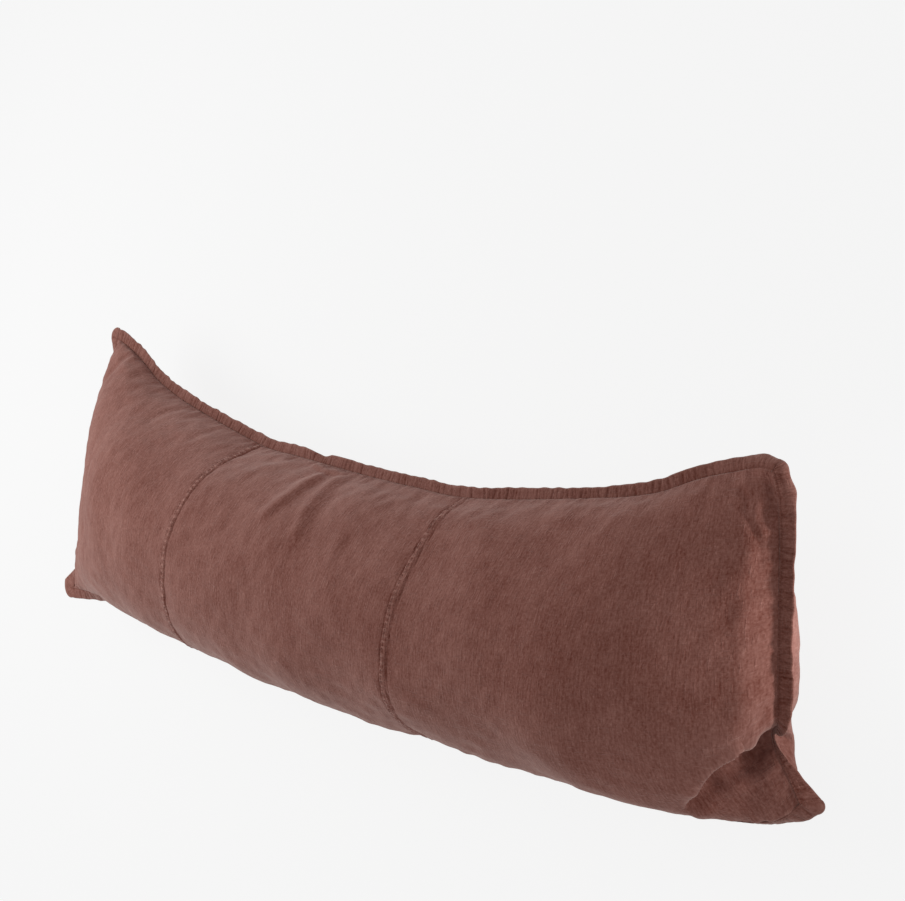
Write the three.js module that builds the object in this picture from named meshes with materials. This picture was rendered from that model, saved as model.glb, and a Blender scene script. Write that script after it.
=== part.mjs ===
// A long lumbar cushion in stone-washed linen, 1.2 m by 0.4 m, lying on its back. The cover is three
// square panels joined by two felled seams, and its edge is a stitched flange on all four sides.
// The row frame: X runs along the cushion, Y from its lower edge to its upper edge, Z out of its face.
// The origin lies on the surface, under the middle of the cushion's bounding box.
import * as THREE from 'three';

// Driving dimensions, in millimetres
const HALF_LENGTH = 600;
const PANEL_LENGTH = 400;
const CLOTH_HEIGHT = 400;
const FLANGE_WIDTH = 16;
const FLANGE_THICKNESS = 3;
const GAP = 0.6;
const MITRE_GAP = 0.3;
const ORIGIN_X = 1.0;
const ORIGIN_Y = -11.8;

// A felled seam is a raised band between two stitched grooves
const FELL_HALF_WIDTH = 4;
const FELL_HEIGHT = 1.6;
const FELL_GROOVE_AT = 6.5;
const FELL_GROOVE_WIDTH = 2.5;
const FELL_GROOVE_DEPTH = 1.8;
const FELL_GROOVE_REACH = 4;

// How finely the solids are faceted: stations crowd at these distances from each end, and at the
// dog-ear's, from the right end
const STATION_STEP = 16;
const END_STATIONS = [0, 3, 8, 15, 24, 35, 48];
const FOLD_STATIONS = [19, 29, 41, 54, 60, 67, 75, 84];
const FACE_STEPS = 28;
const SECTION_SAMPLES = 160;

// A table is rows of numbers under named columns
const table = (names, rows) => rows.map((row) => Object.fromEntries(names.map((name, k) => [name, row[k]])));

// Cross sections along the cushion. s is the station, -1 at the left end seam and 1 at the right one.
// top and low are where the upper and lower edge seams lie; crown_y is the highest point of the face.
// rise is the face's height over the seams, drop the back's depth under them, before the surface
// flattens it. upper and lower are the fullness of the face's two quarters, 2 being a round one.
const SECTION_NAMES = ['s', 'top_y', 'top_z', 'low_y', 'low_z', 'crown_y', 'rise', 'upper', 'lower', 'drop'];
const SECTIONS = table(SECTION_NAMES, [
  [-1.000, 180, 101, -205, 95, -10, 0, 1.80, 1.70, 0],
  [-0.975, 177, 102, -203, 98, -14, 30, 1.90, 1.65, 40],
  [-0.930, 168, 104, -200, 102, -20, 55, 2.00, 1.70, 70],
  [-0.860, 153, 107, -197, 105, -26, 79, 2.00, 1.80, 96],
  [-0.760, 129, 109, -195, 105, -38, 104, 1.95, 2.00, 112],
  [-0.600, 106, 111, -197, 105, -55, 124, 1.85, 2.20, 122],
  [-0.333, 79, 111, -199, 106, -63, 129, 1.75, 2.35, 126],
  [-0.180, 77, 118, -203, 107, -67, 126, 1.72, 2.35, 126],
  [0.000, 76, 125, -202, 107, -70, 122, 1.70, 2.35, 126],
  [0.180, 78, 134, -198, 107, -74, 115, 1.68, 2.30, 126],
  [0.333, 82, 140, -190, 107, -76, 108, 1.65, 2.25, 126],
  [0.600, 112, 134, -180, 104, -62, 104, 1.70, 2.15, 122],
  [0.760, 133, 127, -175, 98, -48, 96, 1.65, 2.10, 116],
  [0.860, 157, 120, -171, 88, -38, 78, 1.60, 2.00, 108],
  [0.930, 171, 115, -163, 74, -30, 54, 1.55, 1.90, 90],
  [0.975, 180, 111, -150, 60, -24, 28, 1.50, 1.80, 62],
  [1.000, 180, 107, -131, 42, -20, 0, 1.50, 1.80, 0],
]);

// The two end seams, from the upper corner, v = 0, to the lower one, v = 1
const END_SEAMS = table(['v', 'left_x', 'left_z', 'right_x', 'right_z'], [
  [0.00, -589, 101, 546, 107],
  [0.08, -591, 101, 558, 106],
  [0.20, -588, 100, 567, 104],
  [0.35, -580, 99, 572, 97],
  [0.50, -573, 98, 576, 89],
  [0.65, -571, 98, 582, 82],
  [0.76, -580, 99, 585, 77],
  [0.86, -591, 101, 589, 66],
  [1.00, -605, 95, 607, 42],
]);
const END_SAG_FROM = 0.70;
const END_BOW_FROM = 0.55;

// The right end seam is folded in at one place, above the ear of its lower corner. The step that this
// makes runs on into the face at a slant, as the fold of a dog-ear.
const NOTCH = table(['v', 'inward', 'down'], [
  [0.70, 0, 0],
  [0.74, 0, 0],
  [0.81, 14, 16],
  [0.86, 12, 14],
  [0.93, 5, 8],
  [1.00, 0, 0],
]);
const NOTCH_SLANT = 1.2;
const NOTCH_SLANT_TO = 0.93;
const NOTCH_FROM = 0.84;
const BACK_NOTCH_FROM = 0.965;

// Behind its right end the back hangs out over its seam, by so much at each share of its height
const OVERHANG = table(['v', 'reach'], [
  [0.30, 1],
  [0.45, 5],
  [0.58, 5],
  [0.66, 4],
  [0.72, 0],
  [0.77, 7],
  [0.82, 12],
  [0.88, 15],
  [0.93, 6],
  [1.00, 0],
]);
const OVERHANG_AT = 0.965;
const OVERHANG_LENGTH = 0.035;

// Folds in the face, each a ridge from (s1, t1) to (s2, t2), where t is the share of the cloth from
// the upper seam to the lower one. height stands out of the face, and above and below are its two
// slopes' widths in millimetres, the steep one making a dark valley.
const FOLDS = table(['s1', 't1', 's2', 't2', 'height', 'above', 'below'], [
  [1.000, 0.728, 0.957, 0.732, 11, 40, 13],
  [0.957, 0.732, 0.926, 0.762, 11, 40, 13],
  [0.926, 0.762, 0.902, 0.802, 9, 40, 14],
  [1.000, 0.610, 0.927, 0.673, 4, 16, 14],
  [0.933, 0.861, 0.867, 0.935, 4, 12, 14],
  [-0.050, 0.087, -0.070, 0.270, 4, 14, 10],
  [-0.007, 0.072, 0.030, 0.297, 3, 10, 12],
]);
const FOLD_END_FADE = 14;

// Seams and folds flatten out towards the edge seams: shares of the cloth's height and half length
const EDGE_FADE = 0.05;
const END_FADE = 0.02;

// The back is fuller and more even than the face
const BACK_FULLNESS = 2.0;
const BACK_BLEND_FROM = 0.93;

// How far each flange leans out of the cushion's plane, in degrees, where it is not at a corner
const TOP_FLANGE_LEAN = -12;
const LOW_FLANGE_LEAN = -45;
const END_FLANGE_LEAN = -10;
const EAR_LEAN = -25;
const CORNER_REACH = 0.12;
const SQUARE_CORNER = 1.3;
const ROUNDED_CORNER = 0.95;

const LINEN = { color: 0x7d544c, roughness: 0.95, metalness: 0 };

const clamp = THREE.MathUtils.clamp;
const lerp = THREE.MathUtils.lerp;
const smooth = (from, to, x) => THREE.MathUtils.smoothstep(x, from, to);

// A smooth curve through one column of a table, against its first column
function column(rows, key, name, at) {
  const last = rows.length - 1;
  const x = clamp(at, rows[0][key], rows[last][key]);
  let k = 0;
  while (k < last - 1 && x >= rows[k + 1][key]) k += 1;
  const slope = (i) => {
    const before = rows[Math.max(i - 1, 0)];
    const after = rows[Math.min(i + 1, last)];
    return (after[name] - before[name]) / (after[key] - before[key]);
  };
  const step = rows[k + 1][key] - rows[k][key];
  const t = (x - rows[k][key]) / step;
  const a = rows[k][name];
  const b = rows[k + 1][name];
  return (2 * t ** 3 - 3 * t ** 2 + 1) * a + (t ** 3 - 2 * t ** 2 + t) * step * slope(k)
    + (3 * t ** 2 - 2 * t ** 3) * b + (t ** 3 - t ** 2) * step * slope(k + 1);
}

// A point of the section at station s: angle 0 is the upper seam, PI the lower one
function sectionPoint(row, s, angle, side) {
  const nearEnd = smooth(BACK_BLEND_FROM, 1, Math.abs(s));
  const fullness = angle <= Math.PI / 2 ? row.upper : row.lower;
  const exponent = 2 / (side > 0 ? fullness : lerp(BACK_FULLNESS, fullness, nearEnd));
  const middle = side > 0 ? row.crown_y : lerp((row.top_y + row.low_y) / 2, row.crown_y, nearEnd);
  const reach = (angle <= Math.PI / 2 ? row.top_y : row.low_y) - middle;
  const y = middle + reach * Math.abs(Math.cos(angle)) ** exponent;
  const v = (row.top_y - y) / (row.top_y - row.low_y);
  const end = s < 0 ? 'left' : 'right';
  const sag = smooth(END_SAG_FROM, 1, Math.abs(s));
  const bow = smooth(END_BOW_FROM, 1, Math.abs(s));
  const endX = column(END_SEAMS, 'v', `${end}_x`, v);
  const endZ = column(END_SEAMS, 'v', `${end}_z`, v);
  const slant = side > 0 ? NOTCH_SLANT * (1 - s) * (1 - smooth(NOTCH_SLANT_TO, 1, v)) : 0;
  const foldedIn = smooth(side > 0 ? NOTCH_FROM : BACK_NOTCH_FROM, 1, s);
  let x = s * HALF_LENGTH + (endX - Math.sign(s) * HALF_LENGTH) * bow;
  x -= column(NOTCH, 'v', 'inward', v - slant) * foldedIn;
  if (side < 0) {
    const near = Math.exp(-(((s - OVERHANG_AT) / OVERHANG_LENGTH) ** 2));
    const inside = smooth(0, END_FADE, 1 - Math.abs(s)) * Math.sqrt(Math.abs(Math.sin(angle)));
    x += column(OVERHANG, 'v', 'reach', v) * near * inside;
  }
  const seamZ = lerp(lerp(row.top_z, row.low_z, v), endZ, sag);
  const sunk = column(NOTCH, 'v', 'down', v - slant) * foldedIn;
  const bulge = side > 0 ? row.rise : -row.drop;
  return new THREE.Vector3(x, y, seamZ - sunk + bulge * Math.sin(angle) ** exponent);
}

// One section from the upper seam to the lower one, in steps of equal length
function sectionLine(s, side) {
  const row = {};
  for (const name of Object.keys(SECTIONS[0])) row[name] = column(SECTIONS, 's', name, s);
  const dense = [];
  for (let i = 0; i <= SECTION_SAMPLES; i += 1) {
    dense.push(sectionPoint(row, s, Math.min(i / SECTION_SAMPLES, 1) * Math.PI, side));
  }
  const lengths = [0];
  for (let i = 1; i < dense.length; i += 1) lengths.push(lengths[i - 1] + dense[i].distanceTo(dense[i - 1]));
  const line = [];
  let k = 0;
  for (let j = 0; j <= FACE_STEPS; j += 1) {
    const wanted = (lengths[SECTION_SAMPLES] * j) / FACE_STEPS;
    while (k < SECTION_SAMPLES - 1 && lengths[k + 1] < wanted) k += 1;
    const t = clamp((wanted - lengths[k]) / (lengths[k + 1] - lengths[k]), 0, 1);
    line.push(dense[k].clone().lerp(dense[k + 1], t));
  }
  return line;
}

// Stations are even along the panels, closer at the ends and on both sides of each felled seam
function stationList() {
  const nearSeam = [0, FELL_HALF_WIDTH, FELL_GROOVE_AT, FELL_GROOVE_AT + FELL_GROOVE_REACH];
  const marks = [];
  for (const d of END_STATIONS) marks.push(-HALF_LENGTH + d, HALF_LENGTH - d);
  for (const d of FOLD_STATIONS) marks.push(HALF_LENGTH - d);
  for (const seam of [-PANEL_LENGTH / 2, PANEL_LENGTH / 2]) {
    for (const d of nearSeam) marks.push(seam - d, seam + d);
  }
  const fixed = [...new Set(marks)].sort((a, b) => a - b);
  const all = [];
  for (let i = 0; i < fixed.length - 1; i += 1) {
    const pieces = Math.ceil((fixed[i + 1] - fixed[i]) / STATION_STEP);
    for (let j = 0; j < pieces; j += 1) all.push(lerp(fixed[i], fixed[i + 1], j / pieces));
  }
  all.push(HALF_LENGTH);
  return all.map((x) => x / HALF_LENGTH);
}

// The raised band and stitched grooves of a felled seam, at a distance from its middle
function felledSeam(distance) {
  const band = FELL_HEIGHT * (1 - smooth(FELL_HALF_WIDTH, FELL_GROOVE_AT, distance));
  const groove = FELL_GROOVE_DEPTH * Math.exp(-(((distance - FELL_GROOVE_AT) / FELL_GROOVE_WIDTH) ** 2));
  return band - groove;
}

// How far the folds lift the face at (s, t)
function foldLift(s, t) {
  let lift = 0;
  for (const fold of FOLDS) {
    const from = new THREE.Vector2(fold.s1 * HALF_LENGTH, -fold.t1 * CLOTH_HEIGHT);
    const along = new THREE.Vector2(fold.s2 * HALF_LENGTH, -fold.t2 * CLOTH_HEIGHT).sub(from);
    const point = new THREE.Vector2(s * HALF_LENGTH, -t * CLOTH_HEIGHT).sub(from);
    const length = along.length();
    const share = point.dot(along) / length ** 2;
    const past = Math.max(-share, share - 1, 0) * length;
    const across = along.cross(point) / length;
    const width = across < 0 ? fold.above : fold.below;
    lift = Math.max(lift, fold.height * Math.exp(-((across / width) ** 2) - (past / FOLD_END_FADE) ** 2));
  }
  return lift;
}

// The face or the back as a grid of points, lifted along its normals by seams and folds
function faceGrid(stations, side) {
  const plain = stations.map((s) => sectionLine(s, side));
  return plain.map((line, i) => line.map((point, j) => {
    const edge = j === 0 || j === FACE_STEPS || i === 0 || i === plain.length - 1;
    if (edge) return point.clone();
    const along = plain[i + 1][j].clone().sub(plain[i - 1][j]);
    const across = plain[i][j + 1].clone().sub(plain[i][j - 1]);
    const normal = across.cross(along).multiplyScalar(side).normalize();
    const s = stations[i];
    const t = j / FACE_STEPS;
    const fromSeam = Math.abs(Math.abs(s * HALF_LENGTH) - PANEL_LENGTH / 2);
    const atEdge = smooth(0, EDGE_FADE, Math.min(t, 1 - t));
    const folds = side > 0 ? foldLift(s, t) * smooth(0, END_FADE, 1 - Math.abs(s)) : 0;
    const moved = point.clone().addScaledVector(normal, (felledSeam(fromSeam) + folds) * atEdge);
    if (side < 0) moved.z = Math.max(moved.z, 0);
    return moved;
  }));
}

// Indexed points and quads become one closed mesh with the origin under the cushion's middle
function solid(name, points, quads) {
  const positions = [];
  for (const p of points) positions.push(p.x - ORIGIN_X, p.y - ORIGIN_Y, p.z);
  const index = [];
  for (const [a, b, c, d] of quads) {
    if (new Set([a, b, c]).size === 3) index.push(a, b, c);
    if (new Set([a, c, d]).size === 3) index.push(a, c, d);
  }
  const geometry = new THREE.BufferGeometry();
  geometry.setAttribute('position', new THREE.Float32BufferAttribute(positions, 3));
  geometry.setIndex(index);
  geometry.computeVertexNormals();
  const mesh = new THREE.Mesh(geometry, new THREE.MeshStandardMaterial(LINEN));
  mesh.name = name;
  return mesh;
}

// The filled body: the face and the back share their points along all four edge seams
function filledBody(front, back) {
  const points = [];
  const number = (grid, i, j) => {
    points.push(grid[i][j]);
    return points.length - 1;
  };
  const last = front.length - 1;
  const faceIndex = front.map((line, i) => line.map((_, j) => number(front, i, j)));
  const backIndex = back.map((line, i) => line.map((_, j) => {
    const shared = i === 0 || i === last || j === 0 || j === FACE_STEPS;
    return shared ? faceIndex[i][j] : number(back, i, j);
  }));
  const quads = [];
  for (let i = 0; i < last; i += 1) {
    for (let j = 0; j < FACE_STEPS; j += 1) {
      quads.push([faceIndex[i][j], faceIndex[i][j + 1], faceIndex[i + 1][j + 1], faceIndex[i + 1][j]]);
      quads.push([backIndex[i][j], backIndex[i + 1][j], backIndex[i + 1][j + 1], backIndex[i][j + 1]]);
    }
  }
  return solid('filled_body', points, quads);
}

// A flange strip along a run of seam points. outward is its direction in the plane, and lean tips it
// out of the plane, in degrees, at a share of the run. At its two ends it points along the corners'
// diagonals, so that it meets the next strips in mitres, cornerWidths times as wide there.
function flangeStrip(name, seam, outward, corners, cornerWidths, lean) {
  const points = [];
  const last = seam.length - 1;
  seam.forEach((root, i) => {
    const run = seam[Math.min(i + 1, last)].clone().sub(seam[Math.max(i - 1, 0)]).normalize();
    const corner = i === 0 || i === last;
    const tip = THREE.MathUtils.degToRad(lean(i / last));
    const flat = corner ? corners[i === 0 ? 0 : 1].clone().normalize() : outward.clone();
    const out = flat.clone().multiplyScalar(Math.cos(tip)).setZ(Math.sin(tip));
    const square = corner ? 1 : run.clone().cross(out).length();
    const clear = (GAP + (Math.abs(Math.sin(tip)) + 1 - square) * FLANGE_THICKNESS) / (Math.cos(tip) * square);
    const inner = root.clone().addScaledVector(out, clear);
    if (corner) {
      const mitre = new THREE.Vector3(-flat.y, flat.x, 0);
      const inwards = mitre.dot(run) * (i === 0 ? 1 : -1) > 0 ? 1 : -1;
      inner.addScaledVector(mitre, inwards * MITRE_GAP);
      run.copy(mitre).multiplyScalar(inwards * (i === 0 ? 1 : -1));
    }
    const thick = run.clone().cross(out).normalize();
    const share = corner ? cornerWidths[i === 0 ? 0 : 1] : 1;
    const outer = inner.clone().addScaledVector(out, FLANGE_WIDTH * share);
    for (const p of [inner, outer]) {
      for (const half of [-0.5, 0.5]) points.push(p.clone().addScaledVector(thick, half * FLANGE_THICKNESS));
    }
  });
  const quads = [[0, 1, 3, 2]];
  const ring = [0, 1, 3, 2];
  for (let i = 0; i < last; i += 1) {
    ring.forEach((a, k) => {
      const b = ring[(k + 1) % 4];
      quads.push([4 * i + a, 4 * i + 4 + a, 4 * i + 4 + b, 4 * i + b]);
    });
  }
  quads.push([4 * last, 4 * last + 2, 4 * last + 3, 4 * last + 1]);
  return solid(name, points, quads);
}

const stations = stationList();
const front = faceGrid(stations, 1);
const back = faceGrid(stations, -1);
const lastStation = front.length - 1;

// Near both ends of a run the lean turns from its own value to the corner's
const leanRun = (own, first, final) => (share) => {
  const start = smooth(0, CORNER_REACH, share);
  const finish = smooth(0, CORNER_REACH, 1 - share);
  return own + (first - own) * (1 - start) + (final - own) * (1 - finish);
};

const UP = new THREE.Vector3(0, 1, 0);
const DOWN = new THREE.Vector3(0, -1, 0);
const LEFT = new THREE.Vector3(-1, 0, 0);
const RIGHT = new THREE.Vector3(1, 0, 0);
const UPPER_LEFT = new THREE.Vector3(-1, 1, 0);
const UPPER_RIGHT = new THREE.Vector3(1, 1, 0);
const LOWER_LEFT = new THREE.Vector3(-1, -1, 0);
const LOWER_RIGHT = new THREE.Vector3(1, -1, 0);
const upperSeam = front.map((line) => line[0]);
const lowerSeam = front.map((line) => line[FACE_STEPS]).reverse();
const rightSeam = front[lastStation];
const leftSeam = [...front[0]].reverse();

const cushion = new THREE.Group();
cushion.add(filledBody(front, back));
cushion.add(flangeStrip('flange_upper', upperSeam, UP, [UPPER_LEFT, UPPER_RIGHT],
  [SQUARE_CORNER, ROUNDED_CORNER], leanRun(TOP_FLANGE_LEAN, 0, TOP_FLANGE_LEAN)));
cushion.add(flangeStrip('flange_right', rightSeam, RIGHT, [UPPER_RIGHT, LOWER_RIGHT],
  [ROUNDED_CORNER, SQUARE_CORNER], leanRun(END_FLANGE_LEAN, TOP_FLANGE_LEAN, EAR_LEAN)));
cushion.add(flangeStrip('flange_lower', lowerSeam, DOWN, [LOWER_RIGHT, LOWER_LEFT],
  [SQUARE_CORNER, SQUARE_CORNER], leanRun(LOW_FLANGE_LEAN, EAR_LEAN, 0)));
cushion.add(flangeStrip('flange_left', leftSeam, LEFT, [LOWER_LEFT, UPPER_LEFT],
  [SQUARE_CORNER, SQUARE_CORNER], leanRun(END_FLANGE_LEAN, 0, 0)));

export default cushion;
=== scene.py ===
"""A long lumbar cushion in stone-washed linen, lying on its back.

The cover's own sizes are in millimetres, as it is cut and sewn, and turn into metres where its
pieces are placed. X runs along the cushion, Y up its face and Z out of its face.
"""

import bpy
import numpy as np
from mathutils import Matrix, Vector


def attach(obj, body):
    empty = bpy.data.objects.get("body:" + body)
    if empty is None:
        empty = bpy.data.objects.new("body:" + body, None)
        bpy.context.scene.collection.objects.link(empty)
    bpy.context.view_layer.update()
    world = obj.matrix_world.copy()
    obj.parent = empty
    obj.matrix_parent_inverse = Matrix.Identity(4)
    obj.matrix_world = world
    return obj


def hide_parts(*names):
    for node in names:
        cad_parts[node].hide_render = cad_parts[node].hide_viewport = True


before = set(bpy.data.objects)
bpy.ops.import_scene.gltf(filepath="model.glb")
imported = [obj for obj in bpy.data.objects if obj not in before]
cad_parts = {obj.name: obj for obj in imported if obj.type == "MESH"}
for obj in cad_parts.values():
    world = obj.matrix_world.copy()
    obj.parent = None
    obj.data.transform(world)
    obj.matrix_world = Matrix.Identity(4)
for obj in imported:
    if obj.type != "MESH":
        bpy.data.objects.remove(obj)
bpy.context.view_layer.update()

# The filled body: three square linen panels in front and three behind, felled together and stuffed.
# Its sections follow one another along its length, and each is walked in even steps of cloth, so
# that s (-1 to 1) and t (0 to 1) are places on the flat cover.
MM = 0.001
HALF_LENGTH = 600
PANEL_LENGTH = 400
CLOTH_HEIGHT = 400
ORIGIN = np.array([1.0, -11.8, 0.0])
WALK_SAMPLES = 4001
SECTION_SAMPLES = 500

# where a section's upper and lower seams lie and its crown is, how far its face rises, how full the
# upper and the lower half of its curve are, and how far its back drops
SECTION_NAMES = ("s", "top_y", "top_z", "low_y", "low_z", "crown_y", "rise", "upper", "lower", "drop")
SECTIONS = np.array([
    (-1.000, 180, 101, -205, 95, -10, 0, 1.80, 1.70, 0),
    (-0.975, 177, 102, -203, 98, -14, 30, 1.90, 1.65, 40),
    (-0.930, 168, 104, -200, 102, -20, 55, 2.00, 1.70, 70),
    (-0.860, 153, 107, -197, 105, -26, 79, 2.00, 1.80, 96),
    (-0.760, 129, 109, -195, 105, -38, 104, 1.95, 2.00, 112),
    (-0.600, 106, 111, -197, 105, -55, 124, 1.85, 2.20, 122),
    (-0.333, 79, 111, -199, 106, -63, 129, 1.75, 2.35, 126),
    (-0.180, 77, 118, -203, 107, -67, 126, 1.72, 2.35, 126),
    (0.000, 76, 125, -202, 107, -70, 122, 1.70, 2.35, 126),
    (0.180, 78, 134, -198, 107, -74, 115, 1.68, 2.30, 126),
    (0.333, 82, 140, -190, 107, -76, 108, 1.65, 2.25, 126),
    (0.600, 112, 134, -180, 104, -62, 104, 1.70, 2.15, 122),
    (0.760, 133, 127, -175, 98, -48, 96, 1.65, 2.10, 116),
    (0.860, 157, 120, -171, 88, -38, 78, 1.60, 2.00, 108),
    (0.930, 171, 115, -163, 74, -30, 54, 1.55, 1.90, 90),
    (0.975, 180, 111, -150, 60, -24, 28, 1.50, 1.80, 62),
    (1.000, 180, 107, -131, 42, -20, 0, 1.50, 1.80, 0),
])
# how the seams at both ends bow and sag, at each share v of their height from the top
END_SEAM_NAMES = ("v", "left_x", "left_z", "right_x", "right_z")
END_SEAMS = np.array([
    (0.00, -589, 101, 546, 107),
    (0.08, -591, 101, 558, 106),
    (0.20, -588, 100, 567, 104),
    (0.35, -580, 99, 572, 97),
    (0.50, -573, 98, 576, 89),
    (0.65, -571, 98, 582, 82),
    (0.76, -580, 99, 585, 77),
    (0.86, -591, 101, 589, 66),
    (1.00, -605, 95, 607, 42),
])
END_SAG_FROM = 0.70
END_BOW_FROM = 0.55
BACK_FULLNESS = 2.0
BACK_BLEND_FROM = 0.93
# the right end seam is folded in at one place, which runs on into the face as a dog-ear's fold
NOTCH_NAMES = ("v", "inward", "down")
NOTCH = np.array([
    (0.70, 0, 0),
    (0.757, 0, 0),
    (0.800, 16, 18),
    (0.86, 12, 14),
    (0.93, 5, 8),
    (1.0, 0, 0),
])
NOTCH_SLANT = 1.1
NOTCH_STRAIGHT_FROM = 0.93
NOTCH_FROM = 0.84
BACK_NOTCH_FROM = 0.965
# behind the right end the back hangs out over that seam, by so much at each share of its height
OVERHANG_NAMES = ("v", "reach")
OVERHANG = np.array([
    (0.30, 1),
    (0.45, 5),
    (0.58, 5),
    (0.66, 4),
    (0.72, 0),
    (0.77, 7),
    (0.82, 12),
    (0.88, 15),
    (0.93, 6),
    (1, 0),
])
OVERHANG_AT = 0.965
OVERHANG_LENGTH = 0.035
OVERHANG_FREE_FROM = 0.02


def smooth(start, stop, x):
    """0 up to start, then smoothly to 1 at stop."""
    t = np.clip((x - start) / (stop - start), 0, 1)
    return t * t * (3 - 2 * t)


def column(table, names, name, at):
    """A smooth curve through one column of a table, against its first column."""
    keys = table[:, 0]
    values = table[:, names.index(name)]
    x = np.clip(at, keys[0], keys[-1])
    k = np.clip(np.searchsorted(keys, x, side="right") - 1, 0, len(keys) - 2)
    slopes = np.empty(len(keys))
    slopes[1:-1] = (values[2:] - values[:-2]) / (keys[2:] - keys[:-2])
    slopes[0] = (values[1] - values[0]) / (keys[1] - keys[0])
    slopes[-1] = (values[-1] - values[-2]) / (keys[-1] - keys[-2])
    step = keys[k + 1] - keys[k]
    t = (x - keys[k]) / step
    start = (2 * t**3 - 3 * t**2 + 1) * values[k] + (t**3 - 2 * t**2 + t) * step * slopes[k]
    stop = (3 * t**2 - 2 * t**3) * values[k + 1] + (t**3 - t**2) * step * slopes[k + 1]
    return start + stop


def end_seam(s, v, axis):
    """Where the end seam that is nearer to s lies, at each share of its height."""
    left = column(END_SEAMS, END_SEAM_NAMES, "left_" + axis, v)
    right = column(END_SEAMS, END_SEAM_NAMES, "right_" + axis, v)
    return np.where(s < 0, left, right)


def sections(s, share, side):
    """The face (side 1) or the back (side -1) at stations s, each walked to the given shares."""
    angle = np.linspace(0, np.pi, SECTION_SAMPLES + 1)[None, :]
    row = {name: column(SECTIONS, SECTION_NAMES, name, s)[:, None] for name in SECTION_NAMES}
    s = s[:, None]
    near_end = smooth(BACK_BLEND_FROM, 1, abs(s))
    upper_half = angle <= np.pi / 2
    fullness = np.where(upper_half, row["upper"], row["lower"])
    middle = row["crown_y"]
    if side < 0:
        fullness = BACK_FULLNESS + (fullness - BACK_FULLNESS) * near_end
        centre = (row["top_y"] + row["low_y"]) / 2
        middle = centre + (middle - centre) * near_end
    reach = np.where(upper_half, row["top_y"], row["low_y"]) - middle
    y = middle + reach * abs(np.cos(angle)) ** (2 / fullness)
    v = (row["top_y"] - y) / (row["top_y"] - row["low_y"])
    seam_z = row["top_z"] + (row["low_z"] - row["top_z"]) * v
    seam_z = seam_z + (end_seam(s, v, "z") - seam_z) * smooth(END_SAG_FROM, 1, abs(s))
    bow = end_seam(s, v, "x") - np.sign(s) * HALF_LENGTH
    x = s * HALF_LENGTH + bow * smooth(END_BOW_FROM, 1, abs(s))
    folded_in = smooth(NOTCH_FROM if side > 0 else BACK_NOTCH_FROM, 1, s)
    notch_v = v - NOTCH_SLANT * (1 - s) * (1 - smooth(NOTCH_STRAIGHT_FROM, 1, v)) * (side > 0)
    x = x - column(NOTCH, NOTCH_NAMES, "inward", notch_v) * folded_in
    seam_z = seam_z - column(NOTCH, NOTCH_NAMES, "down", notch_v) * folded_in
    bulge = row["rise"] if side > 0 else -row["drop"]
    z = seam_z + bulge * abs(np.sin(angle)) ** (2 / fullness)
    if side < 0:
        reach = column(OVERHANG, OVERHANG_NAMES, "reach", v)
        near = np.exp(-(((s - OVERHANG_AT) / OVERHANG_LENGTH) ** 2))
        near = near * smooth(0, OVERHANG_FREE_FROM, 1 - abs(s))
        x = x + reach * near * np.sin(angle) ** 0.5
    dense = np.stack([x, y, z], -1)
    steps = np.linalg.norm(np.diff(dense, axis=1), axis=2)
    walked = np.concatenate([np.zeros((len(s), 1)), np.cumsum(steps, axis=1)], axis=1)
    return np.stack([
        np.stack([np.interp(share * length[-1], length, line[:, axis]) for axis in range(3)], -1)
        for length, line in zip(walked, dense)
    ])


def crowded(length, step, marks):
    """Places from 0 to length, a step apart, and closer around the marks of (place, reach, step)."""
    x = np.linspace(0, length, WALK_SAMPLES)
    steps = np.full(x.shape, float(step))
    for mark, reach, fine in marks:
        near = np.exp(-(((x - mark) / reach) ** 4))
        steps = np.minimum(steps, step + (fine - step) * near)
    count = np.concatenate([[0], np.cumsum((1 / steps[1:] + 1 / steps[:-1]) / 2 * x[1])])
    return np.interp(np.linspace(0, count[-1], 2 * int(round(count[-1] / 2)) + 1), count, x)


# the flat cover's stations and the places down each: closest at the seams, close at the dog-ear
WIDE_STEP = 3.6
TALL_STEP = 4.4
SEAM_STEP = 1.0
EDGE_REACH = 14
FELL_REACH = 11
UPPER_STEP = 2.6
UPPER_REACH = 60
DOG_EAR_STEP = 2.1
DOG_EAR_U = 2 * HALF_LENGTH - 45
DOG_EAR_U_REACH = 55
DOG_EAR_V = 0.80 * CLOTH_HEIGHT
DOG_EAR_V_REACH = 50
station_u = crowded(2 * HALF_LENGTH, WIDE_STEP, [
    (0, EDGE_REACH, SEAM_STEP),
    (PANEL_LENGTH, FELL_REACH, SEAM_STEP),
    (2 * PANEL_LENGTH, FELL_REACH, SEAM_STEP),
    (DOG_EAR_U, DOG_EAR_U_REACH, DOG_EAR_STEP),
    (2 * HALF_LENGTH, EDGE_REACH, SEAM_STEP),
]) - HALF_LENGTH
walk_v = crowded(CLOTH_HEIGHT, TALL_STEP, [
    (0, EDGE_REACH, SEAM_STEP),
    (0, UPPER_REACH, UPPER_STEP),
    (DOG_EAR_V, DOG_EAR_V_REACH, DOG_EAR_STEP),
    (CLOTH_HEIGHT, EDGE_REACH, SEAM_STEP),
])

# the cloth is settled on a plain grid of wide steps, a little longer than the form that it covers
SETTLE_STEP = 6.0
SETTLE_FRAMES = 14
SETTLE_CLOTH = {
    "quality": 5,
    "mass": 0.3,
    "tension_stiffness": 15,
    "compression_stiffness": 15,
    "shear_stiffness": 5,
    "bending_stiffness": 2.0,
    "use_pressure": True,
    "uniform_pressure_force": 4.0,
    "shrink_min": -0.012,
}
GATHER_LENGTH = 36
GATHER_CAP = 3.5
GATHER_BLUR = 3


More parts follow.
